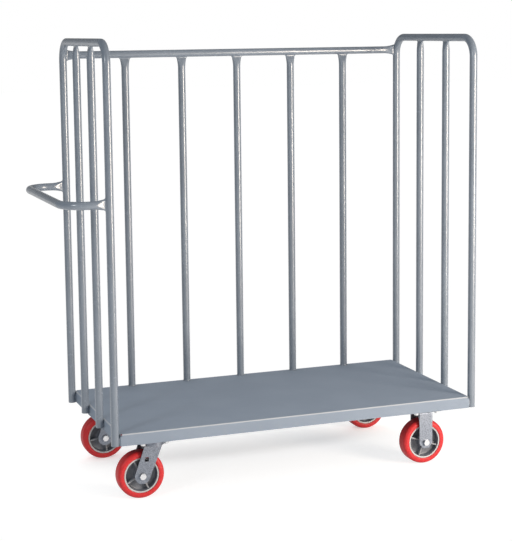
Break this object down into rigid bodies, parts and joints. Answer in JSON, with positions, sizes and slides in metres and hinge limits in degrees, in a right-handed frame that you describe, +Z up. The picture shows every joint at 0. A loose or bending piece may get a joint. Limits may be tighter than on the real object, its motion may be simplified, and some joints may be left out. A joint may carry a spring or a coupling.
{
  "type": "stock cart",
  "caption": "Steel platform stock cart with tubular end frames, a barred back, an open front, a push handle, and swivel and rigid casters.",
  "frame": {"origin": "on the floor, under the middle of the whole cart with its handle", "axes": "+X along the deck, away from the push handle; +Y from the open front to the barred back; +Z up"},
  "size_m": [1.4097, 0.6096, 1.4478],
  "materials": {
    "frame_paint": "satin grey paint",
    "deck_paint": "satin grey paint",
    "caster_zinc": "dull zinc plate",
    "fastener_zinc": "bright zinc plate",
    "bearing_steel": "ground steel",
    "core_grey": "dark grey moulded plastic",
    "tread_red": "smooth red moulded tread"
  },
  "bodies": {
    "cart_frame": {"deck": "deck_paint", "left_caster_channel": "frame_paint", "right_caster_channel": "frame_paint", "deck_stiffener": "frame_paint", "left_end_frame": "frame_paint", "right_end_frame": "frame_paint", "top_rail": "frame_paint", "push_handle": "frame_paint", "left_end_bar_1": "frame_paint", "left_end_bar_2": "frame_paint", "right_end_bar_1": "frame_paint", "right_end_bar_2": "frame_paint", "back_bar_1": "frame_paint", "back_bar_2": "frame_paint", "back_bar_3": "frame_paint", "back_bar_4": "frame_paint", "back_bar_5": "frame_paint", "mounting_bolts": "fastener_zinc", "mounting_lock_washers": "fastener_zinc", "mounting_nuts": "fastener_zinc", "front_left_top_plate": "caster_zinc", "front_left_kingpin": "bearing_steel", "front_left_kingpin_nut": "fastener_zinc", "front_left_swivel_balls": "bearing_steel", "rear_left_top_plate": "caster_zinc", "rear_left_kingpin": "bearing_steel", "rear_left_kingpin_nut": "fastener_zinc", "rear_left_swivel_balls": "bearing_steel", "front_right_fork": "caster_zinc", "front_right_axle_bolt": "fastener_zinc", "front_right_axle_nut": "fastener_zinc", "front_right_axle_washers": "fastener_zinc", "front_right_bushing": "bearing_steel", "rear_right_fork": "caster_zinc", "rear_right_axle_bolt": "fastener_zinc", "rear_right_axle_nut": "fastener_zinc", "rear_right_axle_washers": "fastener_zinc", "rear_right_bushing": "bearing_steel"},
    "front_left_wheel": {"front_left_wheel_tread": "tread_red", "front_left_wheel_core": "core_grey", "front_left_roller_bearing": "bearing_steel"},
    "front_left_swivel": {"front_left_fork": "caster_zinc", "front_left_axle_bolt": "fastener_zinc", "front_left_axle_nut": "fastener_zinc", "front_left_axle_washers": "fastener_zinc", "front_left_bushing": "bearing_steel"},
    "rear_left_wheel": {"rear_left_wheel_tread": "tread_red", "rear_left_wheel_core": "core_grey", "rear_left_roller_bearing": "bearing_steel"},
    "rear_left_swivel": {"rear_left_fork": "caster_zinc", "rear_left_axle_bolt": "fastener_zinc", "rear_left_axle_nut": "fastener_zinc", "rear_left_axle_washers": "fastener_zinc", "rear_left_bushing": "bearing_steel"},
    "front_right_wheel": {"front_right_wheel_tread": "tread_red", "front_right_wheel_core": "core_grey", "front_right_roller_bearing": "bearing_steel"},
    "rear_right_wheel": {"rear_right_wheel_tread": "tread_red", "rear_right_wheel_core": "core_grey", "rear_right_roller_bearing": "bearing_steel"}
  },
  "joints": [
    {"name": "front_left_swivel_turn", "type": "hinge", "parent": "cart_frame", "child": "front_left_swivel", "pos_m": [-0.4191, -0.23495, 0.17], "axis": [0, 0, 1], "continuous": true},
    {"name": "front_left_wheel_roll", "type": "hinge", "parent": "front_left_swivel", "child": "front_left_wheel", "pos_m": [-0.4604, -0.23495, 0.0762], "axis": [0, 1, 0], "continuous": true},
    {"name": "rear_left_swivel_turn", "type": "hinge", "parent": "cart_frame", "child": "rear_left_swivel", "pos_m": [-0.4191, 0.23495, 0.17], "axis": [0, 0, 1], "continuous": true},
    {"name": "rear_left_wheel_roll", "type": "hinge", "parent": "rear_left_swivel", "child": "rear_left_wheel", "pos_m": [-0.4604, 0.23495, 0.0762], "axis": [0, 1, 0], "continuous": true},
    {"name": "front_right_wheel_roll", "type": "hinge", "parent": "cart_frame", "child": "front_right_wheel", "pos_m": [0.5334, -0.23495, 0.0762], "axis": [0, 1, 0], "continuous": true},
    {"name": "rear_right_wheel_roll", "type": "hinge", "parent": "cart_frame", "child": "rear_right_wheel", "pos_m": [0.5334, 0.23495, 0.0762], "axis": [0, 1, 0], "continuous": true}
  ]
}
